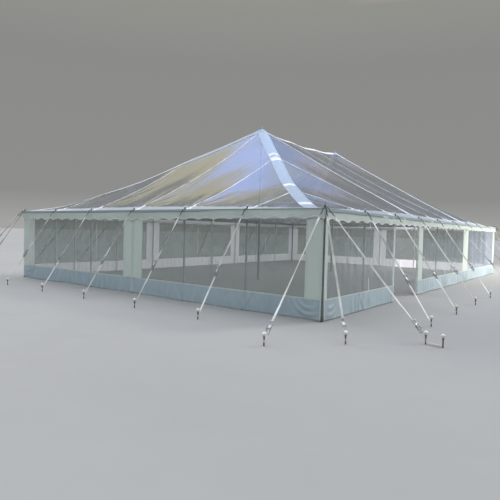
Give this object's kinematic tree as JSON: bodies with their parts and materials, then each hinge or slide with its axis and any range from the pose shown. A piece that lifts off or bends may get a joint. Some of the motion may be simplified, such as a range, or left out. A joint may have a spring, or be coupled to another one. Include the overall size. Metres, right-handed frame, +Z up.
{
  "type": "marquee tent",
  "caption": "Clear-top pole marquee with peaked masts, white hip bands, scalloped valance, clear window walls, an open doorway and staked strap guys.",
  "frame": {"origin": "ground level under the middle of the tent, midway between the two masts", "axes": "+X along the ridge, +Z up; the wall with the doorway faces -Y, and the doorway is near its -X end"},
  "size_m": [23.418, 17.4496, 5.915],
  "materials": {
    "clear_vinyl": "clear, glossy, slightly wavy",
    "white_vinyl": "satin white coated fabric",
    "pole_aluminium": "dull bare aluminium",
    "strap_webbing": "woven off-white webbing"
  },
  "bodies": {
    "root": {"clear_roof_left": "clear_vinyl", "clear_roof_right": "clear_vinyl", "clear_roof_front_left": "clear_vinyl", "clear_roof_front_middle": "clear_vinyl", "clear_roof_front_right": "clear_vinyl", "clear_roof_back_left": "clear_vinyl", "clear_roof_back_middle": "clear_vinyl", "clear_roof_back_right": "clear_vinyl", "hip_band_front_left": "white_vinyl", "hip_band_front_right": "white_vinyl", "hip_band_back_left": "white_vinyl", "hip_band_back_right": "white_vinyl", "ridge_band": "white_vinyl", "peak_cap_left": "white_vinyl", "peak_cap_right": "white_vinyl", "eave_border_front": "white_vinyl", "eave_border_back": "white_vinyl", "eave_border_left": "white_vinyl", "eave_border_right": "white_vinyl", "valance_front": "white_vinyl", "valance_back": "white_vinyl", "valance_left": "white_vinyl", "valance_right": "white_vinyl", "front_wall_left": "white_vinyl", "front_wall_right": "white_vinyl", "back_wall": "white_vinyl", "left_wall": "white_vinyl", "right_wall": "white_vinyl", "front_window_1": "clear_vinyl", "front_window_2": "clear_vinyl", "front_window_3": "clear_vinyl", "back_window_1": "clear_vinyl", "back_window_2": "clear_vinyl", "back_window_3": "clear_vinyl", "left_window_1": "clear_vinyl", "left_window_2": "clear_vinyl", "right_window_1": "clear_vinyl", "right_window_2": "clear_vinyl", "mast_left": "pole_aluminium", "mast_right": "pole_aluminium", "side_poles_front": "pole_aluminium", "side_poles_back": "pole_aluminium", "side_poles_left": "pole_aluminium", "side_poles_right": "pole_aluminium", "guys_front": "strap_webbing", "guys_back": "strap_webbing", "guys_left": "strap_webbing", "guys_right": "strap_webbing"}
  },
  "joints": []
}
